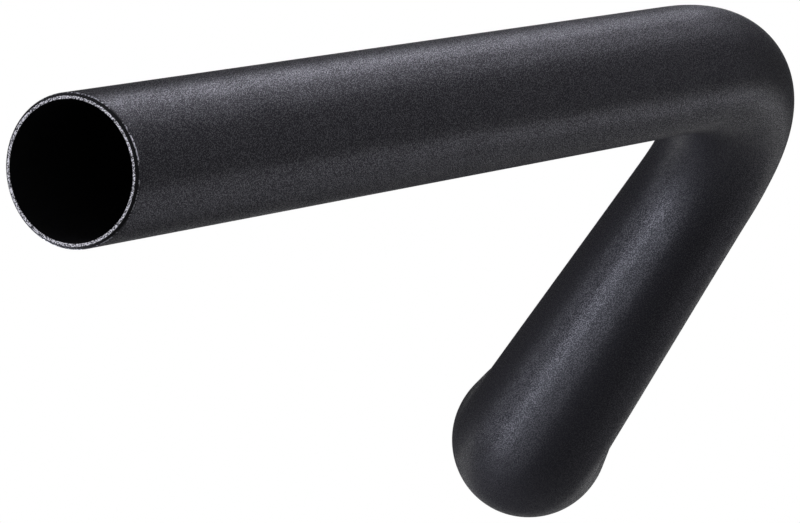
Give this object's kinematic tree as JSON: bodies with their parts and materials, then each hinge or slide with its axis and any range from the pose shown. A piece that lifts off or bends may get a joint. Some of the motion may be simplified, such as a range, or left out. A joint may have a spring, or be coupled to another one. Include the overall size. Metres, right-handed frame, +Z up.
{
  "type": "riser handlebar",
  "caption": "One-piece riser handlebar: a swaged clamp zone rises through double bends to long swept-back grip tubes with open ends.",
  "frame": {"origin": "middle of the clamp zone, on the clamp axis", "axes": "+X along the clamp axis to the rider's right, +Y forward, +Z up; the grips sweep back toward -Y"},
  "size_m": [0.7592, 0.1129, 0.101],
  "materials": {
    "bar": "fine bead-blasted black anodising, bare cut rims at the open ends"
  },
  "bodies": {
    "root": {"handlebar": "bar"}
  },
  "joints": []
}
